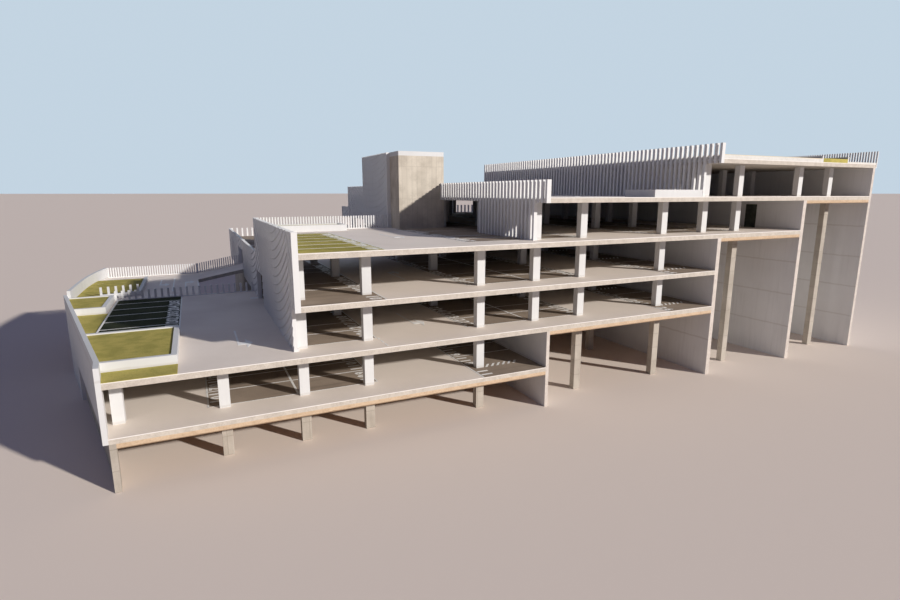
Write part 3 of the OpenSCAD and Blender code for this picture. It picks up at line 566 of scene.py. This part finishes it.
# Half a row: x from, x to and the side of its aisle. The head is how far it goes past the bays, towards the
# aisle, and the foot how far it stays away from the row's middle line.
def halfRow(row, side, head=0.075, foot=0.0):
    middleLine = plan["firstRow"] + row * rowPitch + plan["bayLength"]
    if side == "low":
        return middleLine - plan["bayLength"] - head, middleLine - foot, side
    return middleLine + foot, middleLine + plan["bayLength"] + head, side


# Where half rows start and stop in y: behind the front edge, at the light well, at the back
edge, wellFront, wellBack, back, terraceBack, level4Back = 1.17, 16.9, 19.85, 27.4, 11.84, 19.2
firstHigh, wallLow = halfRow(0, "high", head=0.10, foot=0.035), halfRow(2, "low", head=0.05, foot=0.115)

# Rows of bays on each level: half a row, y from, y to, and what covers it
bayRows = {
    0: [(halfRow(0, "low", head=0.10), edge, terraceBack, "asphalt"),
        (halfRow(0, "high", head=0.10), edge, terraceBack, "asphalt"),
        (halfRow(1, "low", head=0.025, foot=-0.025), 0.0, terraceBack, "asphalt")],
    1: [((-0.84, 1.715, "high"), 4.70, 11.90, "lawnBaysPaintedShade"),
        (firstHigh, edge, wellFront, "asphalt"), (firstHigh, wellBack, back, "asphalt"),
        (halfRow(1, "low"), edge, back, "asphalt"), (halfRow(1, "high"), edge, back, "asphalt"),
        (wallLow, 0.0, back, "asphalt")],
    2: [(firstHigh, 0.0, wellFront, "asphalt"), (firstHigh, wellBack, back, "asphalt"),
        (halfRow(1, "low"), edge, wellFront, "asphalt"), (halfRow(1, "low"), wellBack, back, "asphalt"),
        (halfRow(1, "high"), edge, wellFront, "asphalt"), (halfRow(1, "high"), wellBack, back, "asphalt"),
        (wallLow, 0.0, back, "asphalt")],
    3: [(halfRow(0, "high", head=0.13, foot=0.07), 0.10, 7.55, "lawnBays"),
        (halfRow(1, "low"), edge, 8.60, "asphalt"), (halfRow(1, "high"), edge, back, "asphalt"),
        (halfRow(2, "low"), edge, back, "asphalt"), (halfRow(2, "high"), edge, back, "asphalt")],
    4: [(halfRow(2, "high"), edge, level4Back, "asphalt"), (halfRow(3, "low"), edge, level4Back, "asphalt")],
}

# Distance from the edge of an open run of bays to its first bay, how much of a bay shows at least, and how
# far it may reach over the end of its row
openRuns = {"lawnBays": -0.04, "lawnBaysPaintedShade": 0.30}
cutBay, slack = 0.3, 0.02


# Where bays begin along a row: in groups between the columns, the first one cut by the front, or one open run
def bayStarts(y0, y1, covering):
    width = plan["bayWidth"]
    if covering in openRuns:
        return np.arange(y0 + openRuns[covering], y1 - width + slack, width)
    clear = (plan["linePitch"] - plan["baysInGroup"] * width - plan["columnDepth"]) / 2
    groups = np.arange(-1, plan["columnLines"]) * plan["linePitch"]
    starts = (groups[:, None] + np.arange(plan["baysInGroup"]) * width).ravel()
    starts = starts + plan["firstColumn"] + plan["columnDepth"] + clear
    return starts[(starts + width > y0 + cutBay) & (starts + width < y1 + slack)]


# Strokes in line with the columns, between the groups of bays along a wall
hatch = {"strokes": 6, "pitch": 0.23, "wide": 0.10, "slant": 0.22, "reach": 0.14, "fromHead": 0.60}


def columnLines(y0, y1):  # middles of the columns along a row
    first = plan["firstColumn"] + plan["columnDepth"] / 2
    middles = first + np.arange(plan["columnLines"]) * plan["linePitch"]
    return middles[(middles > y0) & (middles < y1 - hatch["reach"])]


# Stroke i starts at x + i times the pitch. Its corners are a stroke's width apart, the far two are shifted by
# the slant, and it reaches as far to either side of y.
def hatchOutlines(x, y):
    left = (x + np.arange(hatch["strokes"]) * hatch["pitch"])[:, None]
    across = np.array([0, hatch["wide"], hatch["wide"] + hatch["slant"], hatch["slant"]])
    along = y + hatch["reach"] * np.array([-1, -1, 1, 1])
    return np.stack([left + across, np.broadcast_to(along, (hatch["strokes"], 4))], axis=2)


def digitMeshes():  # the ten digits as thin plates about their own middle, one unit high
    shapes = []
    for digit in range(10):
        curve = bpy.data.curves.new("digit", "FONT")
        curve.body, curve.size, curve.resolution_u, curve.extrude = str(digit), 1.0, 2, 0.5
        curve.offset = paint["numberBold"]
        holder = bpy.data.objects.new("digit", curve)
        bpy.context.scene.collection.objects.link(holder)
        bpy.context.view_layer.update()
        mesh = bpy.data.meshes.new_from_object(holder.evaluated_get(bpy.context.evaluated_depsgraph_get()))
        mesh.calc_loop_triangles()
        points = np.zeros(len(mesh.vertices) * 3)
        mesh.vertices.foreach_get("co", points)
        faces = np.zeros(len(mesh.loop_triangles) * 3, int)
        mesh.loop_triangles.foreach_get("vertices", faces)
        points = points.reshape(-1, 3)
        low, high = points.min(0), points.max(0)
        tall = high[1] - low[1]
        shapes.append(((points - (low + high) / 2) / np.array([tall, tall, 1.0]), faces.reshape(-1, 3)))
        bpy.data.objects.remove(holder)
        bpy.data.curves.remove(curve)
        bpy.data.meshes.remove(mesh)
    return shapes


digits = digitMeshes()


# A bay's number, read from its aisle: a digit's own across runs along -y and its own up along x, or both the
# other way round on the high side. Digits that would fall before the row's front are left out.
def numberMeshes(number, x, y, side, level, front):
    text = str(number)
    step = paint["numberWidth"] / len(text)
    turn = 1.0 if side == "low" else -1.0
    meshes = []
    for place, letter in enumerate(text):
        points, faces = digits[int(letter)]
        offset = (place - (len(text) - 1) / 2) * step
        if y - turn * offset - step / 2 < front:
            continue
        across = offset + points[:, 0] * step * paint["digitWide"]
        up = points[:, 1] * paint["numberHeight"]
        height = floorZ(level) + np.where(points[:, 2] > 0, paint["line"], paint["sink"])
        flat = toFrame(np.stack([x + turn * up, y - turn * across], axis=1))
        meshes.append((np.column_stack([flat, height]), faces))
    return meshes


# Lines between bays (not beside a column), along the heads, between two halves and across a front end
def rowLines(level, row, starts):
    (x0, x1, side), y0, y1, covering = row
    headWidth, end, inset = paint["lineWidth"], paint["endInset"], paint["lineInset"]
    half = paint["lineWidth"] / 2
    between = starts[1:][np.diff(starts) < plan["bayWidth"] + slack]
    if covering in openRuns:
        between = np.append(between, starts[-1] + plan["bayWidth"])
    between = between[(between > y0 + half) & (between < y1 - half)]
    each = np.ones(len(between))
    lines = [np.column_stack([each * (x0 + inset), between - half, each * (x1 - inset), between + half])]
    headLine = [x0, x0 + headWidth] if side == "low" else [x1 - headWidth, x1]
    lines.append([[headLine[0], y0 + end, headLine[1], y1 - end]])
    halfMiddle = paint["middleWidth"] / 2
    if any(other[0][1] == x0 and other[1:3] == (y0, y1) for other in bayRows[level]):
        lines.append([[x0 - halfMiddle, y0 + end, x0 + halfMiddle, y1 - end]])
    if covering == "asphalt" and y0 > plan["firstColumn"]:
        lines.append([[x0, y0, x1, y0 + paint["frontWidth"]]])
    return lines


def markLevel(level):
    lines, numbers, strokes, coats = [], [], [], {}
    count = 0
    for row in bayRows[level]:
        (x0, x1, side), y0, y1, covering = row
        coats.setdefault(covering, []).append([x0, y0, x1, y1])
        starts = bayStarts(y0, y1, covering)
        lines += rowLines(level, row, starts)
        if side == "low" and y0 == 0.0:  # a row along a wall
            strokes += [hatchOutlines(x0 + hatch["fromHead"], y) for y in columnLines(y0, y1)]
        inward = paint["headGap"] + paint["numberHeight"] / 2
        x = x0 + inward if side == "low" else x1 - inward
        for start in starts:
            count += 1
            number = 100 * (level + 1) + count
            numbers += numberMeshes(number, x, start + plan["bayWidth"] / 2, side, level, y0)
    z = floorZ(level)
    for covering, boxes in coats.items():
        coat = platesMesh(rectangles(boxes), z - paint["sink"], z + paint["coat"])
        addMesh(f"{covering}Level{level}", coat, coverings[covering])
    addPaint(f"bayLinesLevel{level}", rectangles(np.concatenate(lines)), level, overCoat=True)
    addMesh(f"bayNumbersLevel{level}", joinMeshes(numbers), roadPaint)
    if strokes:
        addPaint(f"hatchingLevel{level}", np.concatenate(strokes), level, overCoat=True)
    print("stage: level", level, "marked,", count, "bays")


for level in bayRows:
    markLevel(level)

# Arrows on the lanes: x and y of the tail, heading in degrees from +Y, and turn (-1 left, 1 right)
arrows = {
    "length": 1.95, "stem": 0.06, "bar": 0.30, "bend": 0.22, "headBase": 1.06, "headTip": 0.20, "point": 0.01,
    "places": {
        1: [(3.40, 4.15, 180, -1), (0.66, 17.6, 180, -1), (1.84, 14.4, 0, 1), (9.37, 4.35, 180, -1),
            (9.37, 13.2, 180, -1), (8.6, 20.8, 0, 1), (17.4, 12.0, 0, 1)],
        2: [(9.37, 3.36, 0, 1), (9.37, 13.2, 180, -1), (17.4, 12.0, 0, 1)],
        3: [(9.28, 6.0, 180, -1), (17.4, 12.0, 0, 1)],
        4: [(17.0, 5.2, 180, -1), (17.4, 12.0, 0, 1), (26.2, 6.0, 0, 1)],
    },
}


# Stem, bar and head about the tail, each with four corners. A turn to the left mirrors across, and a heading
# turns (across, along) into (across cos h + along sin h, along cos h - across sin h).
def arrowOutlines(x, y, heading, turn):
    length, bend, tip = arrows["length"], arrows["bend"], arrows["bend"] + arrows["headTip"]
    stem, base, point = arrows["stem"] / 2, arrows["headBase"] / 2, arrows["point"] / 2
    low, middle = length - arrows["bar"], length - arrows["bar"] / 2
    shapes = np.array([
        [[-stem, 0], [stem, 0], [stem, length], [-stem, length]],
        [[stem, low], [bend, low], [bend, length], [stem, length]],
        [[bend, middle - base], [tip, middle - point], [tip, middle + point], [bend, middle + base]]])
    if turn < 0:
        shapes = shapes[:, ::-1] * [-1, 1]
    cos, sin = math.cos(math.radians(heading)), math.sin(math.radians(heading))
    return shapes @ np.array([[cos, -sin], [sin, cos]]) + np.array([x, y])


for level, places in arrows["places"].items():
    addPaint(f"laneArrowsLevel{level}", np.concatenate([arrowOutlines(*place) for place in places]), level)

# Green strips, kerb and lines on the lowest terrace and the access deck
terrace = {
    "frontStrip": [[0.0, 0.0], [1.715, 0.0], [1.715, 0.92], [-0.12, 0.92], [-0.075, 0.66]],
    "sideStrip": [[-0.98, 4.65], [-0.845, 4.65], [-0.845, 9.12], [-1.95, 9.12]],
    "kerb": {"x": -0.82, "from": 4.66, "to": 11.9, "width": 0.05, "height": 0.055, "fullness": 0.6,
             "arc": 9, "stations": 7},
    "lines": [[1.25, 13.5, 1.31, 18.1], [1.03, 12.45, 1.52, 12.56], [4.48, 9.95, 4.79, 10.2],
              [2.40, 12.1, 2.45, 16.3]],
    "dashes": [[7.55, 0.15, 7.60, 0.43], [7.55, 0.57, 7.60, 0.85], [7.55, 0.99, 7.60, 1.16]],
}


# A rounded profile carried along y and closed at both ends. For t from 0 to pi, its across is minus half the
# width times cos t, and its height is the kerb's height times sin t to the power of the fullness.
def kerbMesh(own, z):
    t = np.linspace(0, math.pi, own["arc"])
    across = np.append(-np.cos(t), [1, -1]) * own["width"] / 2
    height = np.append(own["height"] * np.sin(t) ** own["fullness"], [-paint["sink"]] * 2)
    stations, ring = own["stations"], len(across)
    along = np.linspace(own["from"], own["to"], stations)[:, None]
    flat = toFrame(np.stack(np.broadcast_arrays(own["x"] + across, along), axis=2).reshape(-1, 2))
    points = np.column_stack([flat, np.tile(z + height, stations)])
    i = np.arange(stations - 1)[:, None] * ring
    j = np.arange(ring)[None]
    k = (j + 1) % ring
    a, b, c, d = i + j, i + k, i + ring + k, i + ring + j
    sides = np.concatenate([np.stack([a, d, c], 2).reshape(-1, 3), np.stack([a, c, b], 2).reshape(-1, 3)])
    fan = np.stack([np.zeros(ring - 2, int), np.arange(1, ring - 1), np.arange(2, ring)], axis=1)
    return points, np.concatenate([sides, fan, fan[:, ::-1] + (stations - 1) * ring])


deckZ = floorZ(1)
strips = [platesMesh([terrace[key]], deckZ - paint["sink"], deckZ + paint["strip"])
          for key in ("frontStrip", "sideStrip")]
addMesh("greenStrips", joinMeshes(strips), greenStrip)
addPaint("deckLines", rectangles(terrace["lines"] + terrace["dashes"]), 1)
kerbPaint = renderMaterial("kerbPaint", render["kerbStreaks"])
addMesh("bayKerb", kerbMesh(terrace["kerb"], deckZ), kerbPaint)
print("stage: terrace finished")


# Floor, light and camera
studio = {
    "floor": (0.88, 0.77, 0.68), "floorSize": 4000.0, "floorDrop": 0.002, "floorRough": 0.95,
    "floorSpecular": 0.1, "backdrop": (0.55, 0.66, 0.76), "ambient": (0.53, 0.58, 1.0), "ambientLevel": 0.165,
    "sunHeading": (-0.5535, 0.7582, -0.3446), "sunLevel": 4.2, "sunColor": (1.0, 0.955, 0.90),
    "sunWidth": 2.0,
    "cameraPlace": (-12.41, -29.105, 7.67), "cameraTurn": (78.696, 0.0, -25.444), "lens": 21.52,
    "sensor": 36.0, "cameraReach": 10000.0,
}


def makeFloor():
    corners = np.array([[-1, -1], [1, -1], [1, 1], [-1, 1]]) * studio["floorSize"]
    points = np.column_stack([corners, np.full(4, -studio["floorDrop"])])
    mesh = bpy.data.meshes.new("studioFloor")
    mesh.from_pydata(points.tolist(), [], [(0, 1, 2, 3)])
    material, tree, shader = startMaterial("studioFloor", studio["floorSpecular"])
    fillInputs(tree, shader, {"Base Color": rgba(studio["floor"]), "Roughness": studio["floorRough"]})
    mesh.materials.append(material)
    floor = bpy.data.objects.new("studioFloor", mesh)
    bpy.context.scene.collection.objects.link(floor)


def makeLight():  # the world lights with the ambient colour, and shows the backdrop
    world = bpy.data.worlds.new("studio")
    bpy.context.scene.world = world
    world.use_nodes = True
    tree = world.node_tree
    tree.nodes.clear()
    path = addNode(tree, "ShaderNodeLightPath").outputs
    seen = mathNode(tree, "MAXIMUM", path["Is Camera Ray"], path["Is Glossy Ray"])
    seen = mathNode(tree, "MAXIMUM", seen, path["Is Transmission Ray"])
    level = studio["ambientLevel"]
    soft = addNode(tree, "ShaderNodeBackground", {"Color": rgba(studio["ambient"]), "Strength": level})
    shown = addNode(tree, "ShaderNodeBackground", {"Color": rgba(studio["backdrop"]), "Strength": 1.0})
    mix = addNode(tree, "ShaderNodeMixShader", {0: seen, 1: soft.outputs[0], 2: shown.outputs[0]})
    addNode(tree, "ShaderNodeOutputWorld", {"Surface": mix.outputs[0]})
    lamp = bpy.data.lights.new("keyLight", "SUN")
    lamp.energy, lamp.color = studio["sunLevel"], studio["sunColor"]
    lamp.angle = math.radians(studio["sunWidth"])
    key = bpy.data.objects.new("keyLight", lamp)
    key.rotation_euler = Vector(studio["sunHeading"]).to_track_quat("-Z", "Y").to_euler()
    bpy.context.scene.collection.objects.link(key)


def makeCamera():
    view = bpy.data.cameras.new("camera")
    view.lens, view.sensor_width, view.clip_end = studio["lens"], studio["sensor"], studio["cameraReach"]
    camera = bpy.data.objects.new("camera", view)
    camera.location = studio["cameraPlace"]
    camera.rotation_euler = tuple(math.radians(angle) for angle in studio["cameraTurn"])
    bpy.context.scene.collection.objects.link(camera)
    bpy.context.scene.camera = camera


makeFloor()
makeLight()
makeCamera()
bpy.context.scene.view_settings.view_transform = "Standard"
print("stage: studio ready")
